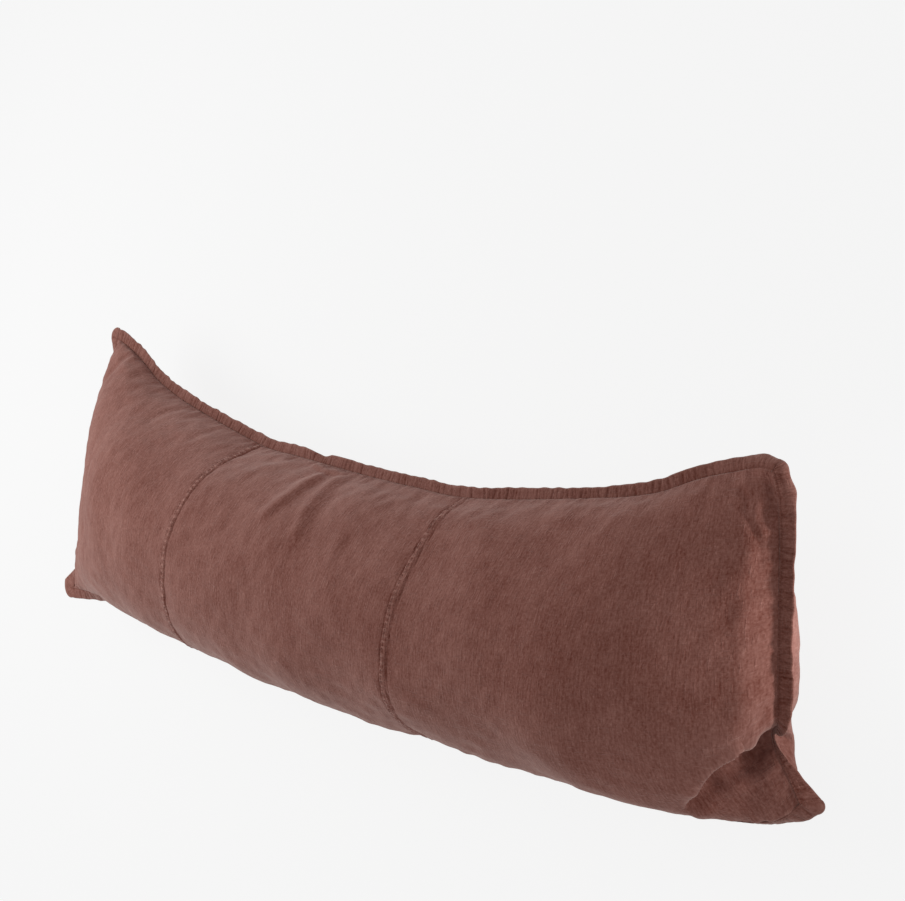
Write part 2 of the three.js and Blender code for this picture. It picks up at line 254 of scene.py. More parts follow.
def blurred(field, width, step):
    """A field smoothed over a width, both ways."""
    half = max(1, int(round(width / step)))
    window = np.hanning(2 * half + 3)[1:-1]
    window /= window.sum()
    for axis in (0, 1):
        padding = [(half, half) if axis == k else (0, 0) for k in (0, 1)]
        wide = np.pad(field, padding, mode="reflect")
        field = np.apply_along_axis(np.convolve, axis, wide, window, mode="valid")
    return field


def normals(points, side):
    """The way out of the cover at each point of the face (side 1) or the back (side -1)."""
    normal = np.cross(np.gradient(points, axis=1), np.gradient(points, axis=0)) * side
    return normal / (np.linalg.norm(normal, axis=2, keepdims=True) + 1e-9)


def both_numbers(shape):
    """Numbers for the points of the face, and for those of the back, which shares the face's edge."""
    inner = (slice(1, -1), slice(1, -1))
    on_face = np.arange(shape[0] * shape[1]).reshape(shape)
    on_back = on_face.copy()
    on_back[inner] = on_face.size + np.arange(on_face[inner].size).reshape(on_face[inner].shape)
    return on_face, on_back


def grid_quads(numbers, flip):
    """Four-sided faces between the numbered points of a grid."""
    a, b = numbers[:-1, :-1], numbers[1:, :-1]
    c, d = numbers[1:, 1:], numbers[:-1, 1:]
    corners = (a, b, c, d) if flip else (a, d, c, b)
    return np.stack(corners, -1).reshape(-1, 4)


def settled_gathers():
    """The cover blown up a little by its filling: how far its gathers lift the face and the back.

    The cloth is longer than its form, is held along its edge seams and swells under the filling's
    pressure, so that it puckers along the seams. Only these gathers are kept.
    """
    s = np.linspace(-1, 1, int(2 * HALF_LENGTH / SETTLE_STEP) + 1)
    t = np.linspace(0, 1, int(CLOTH_HEIGHT / SETTLE_STEP) + 1)
    sides = [sections(s, t, side) for side in (1, -1)]
    on_face, on_back = both_numbers(sides[0].shape[:2])
    points = np.empty((on_back.max() + 1, 3))
    points[on_back], points[on_face] = sides[1], sides[0]
    faces = np.concatenate([grid_quads(on_face, False), grid_quads(on_back, True)]).tolist()
    mesh = bpy.data.meshes.new("settling")
    mesh.from_pydata((points * MM).tolist(), [], [face for face in faces if len(set(face)) == 4])
    cover = bpy.data.objects.new("settling", mesh)
    bpy.context.scene.collection.objects.link(cover)
    held = cover.vertex_groups.new(name="edge seams")
    edge = np.concatenate([on_face[0], on_face[-1], on_face[:, 0], on_face[:, -1]])
    held.add(np.unique(edge).tolist(), 1.0, "REPLACE")
    cloth = cover.modifiers.new("cloth", "CLOTH")
    for setting, value in SETTLE_CLOTH.items():
        setattr(cloth.settings, setting, value)
    cloth.settings.vertex_group_mass = held.name
    cloth.settings.effector_weights.gravity = 0
    cloth.collision_settings.use_collision = False
    cloth.point_cache.frame_end = SETTLE_FRAMES
    for moment in range(1, SETTLE_FRAMES + 1):
        bpy.context.scene.frame_set(moment)
    swollen = cover.evaluated_get(bpy.context.evaluated_depsgraph_get()).data
    moved = np.empty(3 * len(points), np.float32)
    swollen.vertices.foreach_get("co", moved)
    moved = moved.reshape(-1, 3) / MM
    bpy.data.objects.remove(cover)
    bpy.context.scene.frame_set(1)
    gathers = []
    for start, numbers, side in zip(sides, (on_face, on_back), (1, -1)):
        out = ((moved[numbers] - start) * normals(start, side)).sum(axis=2)
        gathers.append(np.clip(out - blurred(out, GATHER_LENGTH, SETTLE_STEP), -GATHER_CAP, GATHER_CAP))
    return s, t, gathers


settle_s, settle_t, settled = settled_gathers()


def gathers_at(side, s, t):
    """The settled gathers, read between the points of their grid."""
    field = settled[0 if side > 0 else 1]
    field = np.stack([np.interp(t, settle_t, line) for line in field])
    field = np.stack([np.interp(s, settle_s, line) for line in field.T], 1)
    return blurred(field, GATHER_BLUR, WIDE_STEP)


# A fold is a ridge along a path of (s, t) places, with its height, the widths of the slopes above and
# below it, how far it hangs over its lower side, and the depth, distance and width of the valley
# there, in millimetres. Some have a shorter ramp at the end seam, or a lower slope that opens out.
FOLDS = [
    {"path": [(1.01, 0.728), (0.990, 0.719), (0.980, 0.707), (0.968, 0.695), (0.957, 0.701),
              (0.942, 0.719), (0.926, 0.745), (0.912, 0.773), (0.902, 0.797), (0.893, 0.818)],
     "height": 13, "above": 46, "below": 5, "over": 7, "valley": (13, 16, 14), "ramp": 26,
     "opens": 0.45},
    {"path": [(0.992, 0.785), (0.982, 0.812), (0.970, 0.840)],
     "height": -18, "above": 12, "below": 14, "over": 0, "valley": (0, 1, 1), "ramp": 6},
    {"path": [(0.990, 0.050), (0.984, 0.130)],
     "height": -5, "above": 8, "below": 8, "over": 0, "valley": (0, 1, 1), "ramp": 5},
    {"path": [(0.985, 0.600), (0.986, 0.680), (0.994, 0.740)],
     "height": -1.8, "above": 3, "below": 3, "over": 0, "valley": (0, 1, 1), "ramp": 4},
    {"path": [(1.000, 0.610), (0.967, 0.634), (0.927, 0.673)],
     "height": 3.5, "above": 14, "below": 12, "over": 0, "valley": (1, 24, 14)},
    {"path": [(0.933, 0.861), (0.867, 0.935)],
     "height": 4.0, "above": 9, "below": 12, "over": 0, "valley": (1, 24, 14)},
    {"path": [(-0.050, 0.087), (-0.060, 0.211), (-0.070, 0.270)],
     "height": 4.0, "above": 12, "below": 8, "over": 1.0, "valley": (1.2, 12, 8)},
    {"path": [(-0.007, 0.072), (0.007, 0.180), (0.030, 0.297)],
     "height": 3.5, "above": 8, "below": 12, "over": 0, "valley": (1, 20, 12)},
    {"path": [(0.147, 0.221), (0.150, 0.338)],
     "height": 1.5, "above": 10, "below": 10, "over": 0, "valley": (0, 1, 1)},
    {"path": [(-0.105, 0.034), (-0.060, 0.045), (-0.027, 0.036)],
     "height": 3.0, "above": 3, "below": 9, "over": 0, "valley": (0, 1, 1)},
    {"path": [(0.962, 0.230), (0.968, 0.450), (0.966, 0.600)],
     "height": 2.6, "above": 9, "below": 9, "over": 0, "valley": (0, 1, 1)},
    {"path": [(0.947, 0.061), (0.960, 0.140), (0.978, 0.200), (0.980, 0.260)],
     "height": -2.4, "above": 4, "below": 4, "over": 0, "valley": (0, 1, 1)},
]
FOLD_OPENS_FROM = 0.95
FOLD_FADES_OVER = 14
FOLD_FADE_SPREADS = 0.8
USUAL_RAMP = 20
RAMP_POWER = 0.8
VALLEY_OPENS_OVER = 4
OVER_FROM = 1
OVER_WIDTH = 6
# a painted highlight along the crests of the taller folds: its width, and the fold heights at which it
# starts and is full
CREST_WIDTH = 3
CREST_HIGHLIGHT_FROM = 3
CREST_HIGHLIGHT_BY = 12


def across_path(u, v, path):
    """How far a place is below a path, the way down from it, and how far past its ends."""
    nearest = np.full(u.shape, np.inf)
    across = np.zeros(u.shape)
    past = np.zeros(u.shape)
    down = np.zeros((*u.shape, 2))
    for (u1, v1), (u2, v2) in zip(path[:-1], path[1:]):
        du, dv = u2 - u1, v2 - v1
        length = np.hypot(du, dv)
        share = ((u - u1) * du + (v - v1) * dv) / length**2
        inside = np.clip(share, 0, 1)
        gap = np.hypot(u - u1 - inside * du, v - v1 - inside * dv)
        side = np.sign(du * (v - v1) - dv * (u - u1))
        closer = gap < nearest
        nearest = np.where(closer, gap, nearest)
        across = np.where(closer, gap * side, across)
        before = -share if (u1, v1) == path[0] else 0
        after = share - 1 if (u2, v2) == path[-1] else 0
        beyond = np.maximum(before, after)
        past = np.where(closer, np.maximum(beyond, 0) * length, past)
        down[closer] = (-dv / length, du / length)
    return across, down, past


def folds_at(s, t):
    """How far the folds lift the face, how far they draw it sideways, and the painted highlight along
    their crests.
    """
    u, v = s * HALF_LENGTH, -t * CLOTH_HEIGHT
    lift, crest_highlight = np.zeros(u.shape), np.zeros(u.shape)
    draw = np.zeros((*u.shape, 2))
    for fold in FOLDS:
        path = [(path_s * HALF_LENGTH, -path_t * CLOTH_HEIGHT) for path_s, path_t in fold["path"]]
        across, down, past = across_path(u, v, path)
        present = np.exp(-((past / (FOLD_FADES_OVER + FOLD_FADE_SPREADS * abs(across))) ** 2))
        ramp = fold.get("ramp", USUAL_RAMP)
        present *= np.clip((1 - abs(s)) * HALF_LENGTH / ramp, 0, 1) ** RAMP_POWER
        opened = fold.get("opens", 0) * HALF_LENGTH * np.clip(FOLD_OPENS_FROM - s, 0, 1)
        slope = np.where(across < 0, fold["above"], fold["below"] + opened)
        ridge = fold["height"] * np.exp(-((across / slope) ** 2))
        depth, distance, width = fold["valley"]
        valley = depth * np.exp(-(((across - distance) / width) ** 2))
        valley = valley * smooth(0, VALLEY_OPENS_OVER, across)
        lift += (ridge - valley) * present
        over = np.exp(-(((across + OVER_FROM) / OVER_WIDTH) ** 2) - opened / OVER_WIDTH)
        over = fold["over"] * over * present
        draw += over[:, :, None] * down
        # taller folds get a painted highlight along their crest
        highlight = smooth(CREST_HIGHLIGHT_FROM, CREST_HIGHLIGHT_BY, fold["height"])
        crest_highlight = np.maximum(crest_highlight, np.exp(-((across / CREST_WIDTH) ** 2)) * present * highlight)
    draw[:, :, 1] *= -1
    return lift, draw, crest_highlight


WAVELENGTH_RANGE = (0.7, 1.4)


def ripples(u, v, wavelength, rng, count=14, stretch=1.0):
    """Random waves of about one wavelength and unit height, stretched along v."""
    total = np.zeros(np.broadcast(u, v).shape)
    for _ in range(count):
        heading = rng.uniform(0, 2 * np.pi)
        number = 2 * np.pi / (wavelength * rng.uniform(*WAVELENGTH_RANGE))
        phase = rng.uniform(0, 2 * np.pi)
        total += np.sin(number * (np.cos(heading) * u + np.sin(heading) * v / stretch) + phase)
    return total / np.sqrt(count / 2)


# a felled seam's relief, in millimetres: a flat band between a crisp fold towards the middle of the
# cover and a stitched dip towards its end, which both lie a little past the band
FELL_HALF_WIDTH = 4.6
FELL_HEIGHT = 0.7
FELL_FOLD_PAST = 0.7
FELL_FOLD_WIDTH = 0.9
FELL_FOLD_DEPTH = 1.1
FELL_DIP_PAST = 0.4
FELL_DIP_WIDTH = 1.2
FELL_DIP_DEPTH = 0.6
# the band slopes down from so far inside its edges to so far outside them
DIP_SIDE_INSIDE = 0.4
DIP_SIDE_OUTSIDE = 1.2
FOLD_SIDE_INSIDE = 0.2
FOLD_SIDE_OUTSIDE = 0.6
# the seam draws the cloth in around it and puckers it, and beads of cloth stand up on the band
FELL_DRAWN_IN = 0.8
FELL_DRAWN_REACH = 22
FELL_PUCKER = 0.40
FELL_PUCKER_SPACING = 11
FELL_PUCKER_SQUEEZE = 3
FELL_PUCKER_REACH = 9
BEADS_AT = 1.4
BEADS_HALF_WIDTH = 2.3
# how the depths of the fold and the dip change along the seam: mean, swing, wavelength, least, most
FOLD_EVENNESS = (0.9, 0.3, 33, 0.2, 1.3)
DIP_EVENNESS = (0.75, 0.45, 24, 0, 1.5)
# painted shade in the fell's fold and its stitched dip: how much each one darkens the cloth
FOLD_SHADE = 0.8
DIP_SHADE = 0.4


def evenness_along(along, evenness, rng):
    mean, swing, wavelength, least, most = evenness
    return np.clip(mean + swing * ripples(0 * along, along, wavelength, rng), least, most)


def felled_seam(inward, along, rng):
    """A fell's lift, its beads and the painted shade in its fold and dip, by the distance towards the
    middle of the cover.
    """
    distance = abs(inward)
    band = smooth(-FELL_HALF_WIDTH - DIP_SIDE_OUTSIDE, -FELL_HALF_WIDTH + DIP_SIDE_INSIDE, inward)
    beyond = smooth(FELL_HALF_WIDTH - FOLD_SIDE_INSIDE, FELL_HALF_WIDTH + FOLD_SIDE_OUTSIDE, inward)
    band = band * (1 - beyond)
    fold = np.exp(-(((inward - FELL_HALF_WIDTH - FELL_FOLD_PAST) / FELL_FOLD_WIDTH) ** 2))
    dip = np.exp(-(((inward + FELL_HALF_WIDTH + FELL_DIP_PAST) / FELL_DIP_WIDTH) ** 2))
    uneven = evenness_along(along, DIP_EVENNESS, rng)
    held = evenness_along(along, FOLD_EVENNESS, rng)
    puckers = FELL_PUCKER * ripples(FELL_PUCKER_SQUEEZE * inward, along, FELL_PUCKER_SPACING, rng)
    puckers = puckers * np.exp(-((distance / FELL_PUCKER_REACH) ** 2))
    drawn = FELL_DRAWN_IN * np.exp(-((distance / FELL_DRAWN_REACH) ** 2))
    sewn_down = band * FELL_HEIGHT - fold * FELL_FOLD_DEPTH * held - dip * FELL_DIP_DEPTH * uneven
    beads = np.exp(-(((inward - BEADS_AT) / BEADS_HALF_WIDTH) ** 2))
    # painted shade in the fold and the dip
    painted_shade = np.clip(FOLD_SHADE * fold * held + DIP_SHADE * dip * uneven, 0, 1)
    return sewn_down + puckers - drawn, beads, painted_shade


# how far in from the edge seams the folds, the fells and the beads come to their full height
FOLDS_FULL_BY = 12
FELLS_FULL_BY = 5
BEADS_FROM = 4
BEADS_FULL_BY = 14
# the gathers are strongest at the seams, and weaker low down, where the cloth is taut
GATHERS_REACH = 55
GATHERS_INSIDE = 0.3
TAUT_SHARE = 0.6
TAUT_FROM = 0.7
TAUT_BY = 0.9
# waves all over the cover: how high, how long, and how far in they come to their full height
COVER_WAVES = [(1.6, 130, 60), (0.25, 22, 8)]
# short puckers that run in from the edge seams and from the end seams
PUCKER_SPACING = 13
PUCKER_STRETCH = 6
PUCKERS_FULL_BY = 3
EDGE_PUCKER = 0.5
EDGE_PUCKER_REACH = 16
END_PUCKER = 0.6
END_PUCKER_REACH = 14
# the ridges of the folds get a painted highlight by their height
RIDGE_HIGHLIGHT_FROM = 2
RIDGE_HIGHLIGHT_BY = 12
RIDGE_HIGHLIGHT = 0.5
FACE_SEED = 11
BACK_SEED = 12


def seam_puckers(along, inward, distance, height, reach, rng):
    """Puckers that fade with the distance from a seam."""
    waves = height * ripples(along, inward, PUCKER_SPACING, rng, stretch=PUCKER_STRETCH)
    return waves * np.exp(-distance / reach) * smooth(0, PUCKERS_FULL_BY, distance)


def cover_grid(side):
    """The face or the back with its seams and folds: points, the painted highlight on its folds, its
    beads and the painted shade in its fells.
    """
    rng = np.random.default_rng(FACE_SEED if side > 0 else BACK_SEED)
    s, t = station_u / HALF_LENGTH, walk_v / CLOTH_HEIGHT
    plain = sections(s, t, side)
    grid_s, grid_t = np.meshgrid(s, t, indexing="ij")
    u, v = grid_s * HALF_LENGTH, grid_t * CLOTH_HEIGHT
    to_edge = np.minimum(v, CLOTH_HEIGHT - v)
    to_end = HALF_LENGTH - abs(u)
    inside = np.minimum(to_edge, to_end)
    seam, beads, painted_shade = felled_seam(PANEL_LENGTH / 2 - abs(u), v, rng)
    folds, draw, crest_highlight = 0 * u, np.zeros((*u.shape, 2)), 0 * u
    if side > 0:
        folds, draw, crest_highlight = folds_at(grid_s, grid_t)
    free = smooth(0, FOLDS_FULL_BY, to_edge)
    folds = folds * free
    lift = seam * smooth(0, FELLS_FULL_BY, to_edge) + folds
    gathered = GATHERS_INSIDE + (1 - GATHERS_INSIDE) * np.exp(-((inside / GATHERS_REACH) ** 2))
    lift += gathers_at(side, s, t) * gathered * (1 - TAUT_SHARE * smooth(TAUT_FROM, TAUT_BY, grid_t))
    for height, wavelength, full_by in COVER_WAVES:
        lift += height * ripples(u, v, wavelength, rng) * smooth(0, full_by, inside)
    lift += seam_puckers(u, v, to_edge, EDGE_PUCKER, EDGE_PUCKER_REACH, rng)
    lift += seam_puckers(v, u, to_end, END_PUCKER, END_PUCKER_REACH, rng)
    lift[[0, -1], :] = 0
    lift[:, [0, -1]] = 0
    draw = draw * free[:, :, None]
    along_u = np.gradient(plain, station_u, axis=0)
    along_v = np.gradient(plain, walk_v, axis=1)
    points = plain + normals(plain, side) * lift[:, :, None]
    points += along_u * draw[:, :, :1] + along_v * draw[:, :, 1:]
    if side < 0:
        points[:, :, 2] = np.maximum(points[:, :, 2], 0)
    # painted highlight on the folds' ridges and crests
    wear_and_highlight = np.clip(smooth(RIDGE_HIGHLIGHT_FROM, RIDGE_HIGHLIGHT_BY, folds) * RIDGE_HIGHLIGHT + crest_highlight, 0, 1)
    beads = beads * smooth(BEADS_FROM, BEADS_FULL_BY, to_edge)
    return points, {"wear_and_highlight": wear_and_highlight, "beads": beads, "painted_shade": painted_shade}


def every_other(numbers):
    """Faces between every other point, which keep all the points of the grid's own edge."""
    faces = []
    for i in range(0, numbers.shape[0] - 1, 2):
        for j in range(0, numbers.shape[1] - 1, 2):
            face = [numbers[i, j]]
            if j == 0:
                face.append(numbers[i + 1, j])
            face.append(numbers[i + 2, j])
            if i + 3 == numbers.shape[0]:
                face.append(numbers[i + 2, j + 1])
            face.append(numbers[i + 2, j + 2])
            if j + 3 == numbers.shape[1]:
                face.append(numbers[i + 1, j + 2])
            face.append(numbers[i, j + 2])
            if i == 0:
                face.append(numbers[i, j + 1])
            faces.append([int(number) for number in face])
    return faces


def cloth_piece(name, points, faces, flat, amounts):
    """A piece of cloth from points in millimetres, with its flat places and named amounts at each."""
    used, corners = np.unique(np.concatenate(faces), return_inverse=True)
    ends = np.cumsum([len(face) for face in faces])
    faces = [part.tolist() for part in np.split(corners, ends[:-1])]
    mesh = bpy.data.meshes.new(name)
    mesh.from_pydata(((points[used] - ORIGIN) * MM).tolist(), [], faces)
    mesh.update()
    vertex = np.empty(len(mesh.loops), np.int64)
    mesh.loops.foreach_get("vertex_index", vertex)
    cloth = mesh.uv_layers.new(name="cloth")
    cloth.data.foreach_set("uv", (flat[used][vertex] * MM).astype(np.float32).ravel())
    for amount, values in amounts.items():
        layer = mesh.attributes.new(amount, "FLOAT", "POINT")
        layer.data.foreach_set("value", values[used].astype(np.float32))
    mesh.polygons.foreach_set("use_smooth", np.ones(len(mesh.polygons), bool))
    piece = bpy.data.objects.new(name, mesh)
    bpy.context.scene.collection.objects.link(piece)
    return piece


front, front_amounts = cover_grid(1)
back, back_amounts = cover_grid(-1)
front_numbers, back_numbers = both_numbers(front.shape[:2])


def joined(of_face, of_back):
    """Values over the face, then over the back but for the edge that they share."""
    values = np.empty((back_numbers.max() + 1, *of_face.shape[2:]))
    values[back_numbers] = of_back
    values[front_numbers] = of_face
    return values


front_flat = np.stack(np.meshgrid(station_u, walk_v, indexing="ij"), -1)
body = cloth_piece(
    "body",
    joined(front, back),
    grid_quads(front_numbers, False).tolist() + every_other(back_numbers),
    joined(front_flat, front_flat),
    {name: joined(front_amounts[name], back_amounts[name]) for name in front_amounts},
)


class Maths:
    """A socket of a node tree, which adds Math nodes as it is worked with."""

    def __init__(self, tree, socket=None):
        self.tree = tree
        self.socket = socket

    def node(self, kind, settings=None, inputs=None, output=0):
        made = self.tree.nodes.new(kind)
        for name, value in (settings or {}).items():
            setattr(made, name, value)
        for key, value in (inputs or {}).items():
            if isinstance(value, Maths):
                self.tree.links.new(value.socket, made.inputs[key])
            else:
                made.inputs[key].default_value = value
        return Maths(self.tree, made.outputs[output])

    def math(self, operation, first, second):
        return self.node("ShaderNodeMath", {"operation": operation}, {0: first, 1: second})

    def __add__(self, other):
        return self.math("ADD", self, other)

    def __sub__(self, other):
        return self.math("SUBTRACT", self, other)

    def __mul__(self, other):
        return self.math("MULTIPLY", self, other)

    def __radd__(self, other):
        return self.math("ADD", other, self)

    def __rsub__(self, other):
        return self.math("SUBTRACT", other, self)

    def __rmul__(self, other):
        return self.math("MULTIPLY", other, self)

    def sine(self):
        return self.math("SINE", self, 0)

    def step(self, start, stop):
        """0 up to start, then smoothly to 1 at stop."""
        return self.node("ShaderNodeMapRange", {"interpolation_type": "SMOOTHSTEP"},
                         {"Value": self, "From Min": start, "From Max": stop})

    def colour(self, dark, pale):
        """A colour between two, by this number. 6 and 7 are a Mix node's sockets for colours."""
        return self.node("ShaderNodeMix", {"data_type": "RGBA"}, {0: self, 6: dark, 7: pale}, output=2)


def new_material(name, finish):
    """A material and its shader, with the values that are the same all over a piece."""
    material = bpy.data.materials.new(name)
    material.use_nodes = True
    shader = material.node_tree.nodes["Principled BSDF"]
    for socket, value in finish.items():
        shader.inputs[socket].default_value = value
    return material, shader


# the beads between a felled seam's stitches, and the cloth's dry finish with its short pale nap
BEAD_SPACING = 7.4
BEAD_NUMBER = 2 * np.pi / (BEAD_SPACING * MM)
BEAD_UNEVENNESS = 5
LINEN_FINISH = {
    "Roughness": 0.95,
    "Specular IOR Level": 0.08,
    "Sheen Weight": 0.26,
    "Sheen Roughness": 0.5,
    "Sheen Tint": (1.0, 0.85, 0.8, 1),
}
NOISE_ROUGHNESS = 0.6
LIGHT_OFFSET = 0.65
WEAVE_RELIEF = 0.0008
WEAVE_STRENGTH = 0.7


def linen(name, dark, pale):
    """Stone-washed linen: slubby warp and weft, pale flecks, paler where it is worn and where it has a
    painted highlight, and darker under painted shade.
    """
    material, shader = new_material(name, LINEN_FINISH)
    tree = material.node_tree
    start = Maths(tree)
    cloth = start.node("ShaderNodeUVMap", {"uv_map": "cloth"})

    def threads(along, across, detail):
        """Noise with so many spots in a metre along the cover, and across it."""
        scale = (along, across, 1)
        place = start.node("ShaderNodeMapping", inputs={"Vector": cloth, "Scale": scale})
        noise = {"Vector": place, "Scale": 1.0, "Detail": detail, "Roughness": NOISE_ROUGHNESS}
        return start.node("ShaderNodeTexNoise", {"noise_dimensions": "2D"}, noise)

    def amount(attribute):
        return start.node("ShaderNodeAttribute", {"attribute_name": attribute}, output=2)

    grain = 0.45 * threads(560, 260, 1) + 0.22 * threads(260, 600, 1) + 0.33 * threads(460, 60, 1)
    slubs = threads(420, 60, 1).step(0.62, 0.76) + threads(60, 400, 1).step(0.64, 0.78)
    flecks = threads(330, 300, 1).step(0.68, 0.80)
    mottle = 0.6 * threads(16, 12, 3) + 0.4 * threads(70, 50, 1)
    down = start.node("ShaderNodeSeparateXYZ", inputs={0: cloth}, output=1)
    bead_wave = (down * BEAD_NUMBER + BEAD_UNEVENNESS * threads(30, 45, 0)).sine()
    beads = bead_wave.step(-0.2, 0.9) * amount("beads")
    # wear and painted highlight make the colour paler, and painted shade makes it darker
    light = (1.55 * grain + 0.10 * slubs + 0.28 * flecks + 0.75 * mottle
             + 0.20 * amount("wear_and_highlight") + 0.85 * beads - 0.45 * amount("painted_shade"))
    colour = (light - LIGHT_OFFSET).colour((*dark, 1), (*pale, 1))
    tree.links.new(colour.socket, shader.inputs["Base Color"])
    height = grain + 0.5 * slubs + 1.3 * beads
    relief = {"Height": height, "Strength": WEAVE_STRENGTH, "Distance": WEAVE_RELIEF}
    tree.links.new(start.node("ShaderNodeBump", inputs=relief).socket, shader.inputs["Normal"])
    return material


body_linen = linen("body_linen", dark=(0.124, 0.028, 0.0165), pale=(0.303, 0.138, 0.112))
body.data.materials.append(body_linen)
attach(body, "root")
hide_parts("filled_body")

# The flange: both panels' edges, turned and top-stitched flat round all four sides. It is one
# strip that follows the body's edge seams and fans out at the corners into ears. Its cloth puckers
# between the stitches, and is thicker where a felled seam runs through it.
FLANGE_WIDTH = 16.0
FLANGE_STEP = 1.1
FLANGE_LOWEST = 0.3
CURL_FROM = 5.0
STITCH_LINE = 0.8
# across the flange from inside the body to its fold: how far out, and half how thick
FLANGE_PROFILE = np.array([
    (-2.0, 0.5),
    (0.0, 0.7),
    (0.8, 0.6),
    (1.7, 0.9),
    (3.4, 1.35),
    (5.5, 1.4),
    (8.5, 1.45),
    (11.0, 1.45),
    (13.5, 1.5),
    (15.3, 1.1),
    (16.0, 0.35),
])

# each side's seam from corner to corner and the way its flange points; then, at shares of that run,
# how the flange leans and its outer half curls in degrees and how wide it is, and how far its last
# corner reaches
flange_sides = [
    {"seam": front[:, 0], "way": 90, "corner": 1.0,
     "lean": [(0, 0), (0.12, -12), (0.44, -12), (0.457, -30), (0.475, 4), (0.52, -12), (0.90, -12),
              (1, -12)],
     "curl": [(0, 0), (0.95, 0), (0.985, -35), (1, -60)],
     "width": [(0, 1), (0.43, 1), (0.455, 0.80), (0.47, 1.0), (0.485, 1.1), (0.52, 1), (0.96, 1),
               (1, 0.98)]},
    {"seam": front[-1], "way": 0, "corner": 1.2,
     "lean": [(0, -12), (0.08, -12), (0.15, -8), (0.70, -8), (0.745, -5), (0.80, 20), (0.86, -20),
              (0.93, -40), (1, -50)],
     "curl": [(0, -60), (0.05, -50), (0.11, -15), (0.17, 0), (1, 0)],
     "width": [(0, 1.02), (0.06, 1.04), (0.12, 0.92), (0.66, 0.88), (0.72, 0.70), (0.77, 0.35),
               (0.81, 0.2), (0.86, 0.35), (0.91, 0.60), (0.96, 0.9), (1, 1.3)]},
    {"seam": front[::-1, -1], "way": -90, "corner": 0.95,
     "lean": [(0, -50), (0.01, -55), (0.02, -75), (0.03, -88), (0.90, -85), (0.975, -25), (1, -5)],
     "curl": [(0, 0), (1, 0)],
     "width": [(0, 1.3), (0.02, 1.1), (0.04, 1), (0.97, 1), (1, 0.92)]},
    {"seam": front[0, ::-1], "way": -180, "corner": 1.15,
     "lean": [(0, 0), (0.12, -45), (0.22, -75), (0.8, -75), (0.94, -30), (1, 0)],
     "curl": [(0, 0), (1, 0)],
     "width": [(0, 1.75), (0.05, 1.6), (0.10, 1), (1, 1)]},
]
HEADING_EASED = 40
LEAN_EASED = 16
WIDTH_EASED = 9
FELL_BULK_LENGTH = 4.0


def eased(values, width):
    """Values along a side of the flange, averaged over a width."""
    half = max(1, int(width / FLANGE_STEP / 2))
    padded_values = np.pad(values, half, mode="edge")
    window = np.hanning(2 * half + 3)[1:-1]
    return np.convolve(padded_values, window / window.sum(), mode="valid")


def within_half_turn(degrees):
    """The same turn, between -180 and 180."""
    return (degrees + 180) % 360 - 180


runs = []
for side in flange_sides:
    steps = np.linalg.norm(np.diff(side["seam"], axis=0), axis=1)
    walked = np.concatenate([[0], np.cumsum(steps)])
    places = np.linspace(0, walked[-1], int(walked[-1] / FLANGE_STEP) + 1)
    root = np.stack([np.interp(places, walked, side["seam"][:, axis]) for axis in range(3)], -1)
    share = places / walked[-1]
    run = np.gradient(root, axis=0)
    tilt = np.degrees(np.arctan2(run[:, 1], run[:, 0])) + 90 - side["way"]
    from_fell = abs(abs(root[:, 0]) - PANEL_LENGTH / 2)
    runs.append({
        "root": root,
        "heading": side["way"] + eased(within_half_turn(tilt), HEADING_EASED),
        "lean": eased(np.interp(share, *zip(*side["lean"])), LEAN_EASED),
        "curl": eased(np.interp(share, *zip(*side["curl"])), LEAN_EASED),
        "reach": eased(np.interp(share, *zip(*side["width"])), WIDTH_EASED),
        "fell": np.exp(-((from_fell / FELL_BULK_LENGTH) ** 2)),
    })

# the whole ring: each side and then the corner after it, where the flange fans out from one point
CORNER_STEPS = 24
EAR_ROUNDNESS = 0.8
ring = {name: [] for name in runs[0]}
for side, run, after in zip(flange_sides, runs, runs[1:] + runs[:1]):
    fan = np.linspace(0, 1, CORNER_STEPS + 2)[1:-1]
    turned = within_half_turn(after["heading"][0] - run["heading"][-1])
    corner = {"root": np.repeat(run["root"][-1:], CORNER_STEPS, 0)}
    corner["heading"] = run["heading"][-1] + turned * fan
    for name in ("lean", "curl", "reach"):
        corner[name] = run[name][-1] + (after[name][0] - run[name][-1]) * fan
    corner["reach"] = corner["reach"] + (side["corner"] - 1) * np.sin(np.pi * fan) ** EAR_ROUNDNESS
    corner["fell"] = 0 * fan
    for name, parts in ring.items():
        parts += [run[name], corner[name]]
ring = {name: np.concatenate(parts) for name, parts in ring.items()}

heading, lean = np.radians(ring["heading"]), np.radians(ring["lean"])
level = np.stack([np.cos(heading), np.sin(heading), 0 * heading], -1)[:, None]
onward = np.stack([np.sin(heading), -np.cos(heading), np.zeros(len(heading))], -1)
upward = np.array([0, 0, 1])
outward = np.stack([np.cos(heading) * np.cos(lean), np.sin(heading) * np.cos(lean), np.sin(lean)], -1)
middle_edge = ring["root"] + outward * FLANGE_WIDTH / 2
edge_steps = np.linalg.norm(np.diff(middle_edge, axis=0, append=middle_edge[:1]), axis=1)
edge_walk = np.concatenate([[0], np.cumsum(edge_steps)[:-1]])
edge_length = edge_steps.sum()

# its creases run across it between the stitches, at uneven distances and each at its own slant
CREASE_WIDTHS = (0.9, 1.9)
CREASE_SLANTS = (-0.25, 0.25)
CREASE_STRENGTHS = (0.2, 1.0)
CREASE_POWER = 1.5
CREASE_SPACINGS = (2.8, 9)
CREASE_STARTS = (0.5, 2.4)
CREASE_FADES = (11, 16)
CREASE_FADE = 0.6
CREASE_DEPTH = 0.4
CREASE_PINCH = 0.5
# a felled seam that runs through it thickens it from its root on
FELL_BULK = 0.55
FELL_BULK_BY = 3
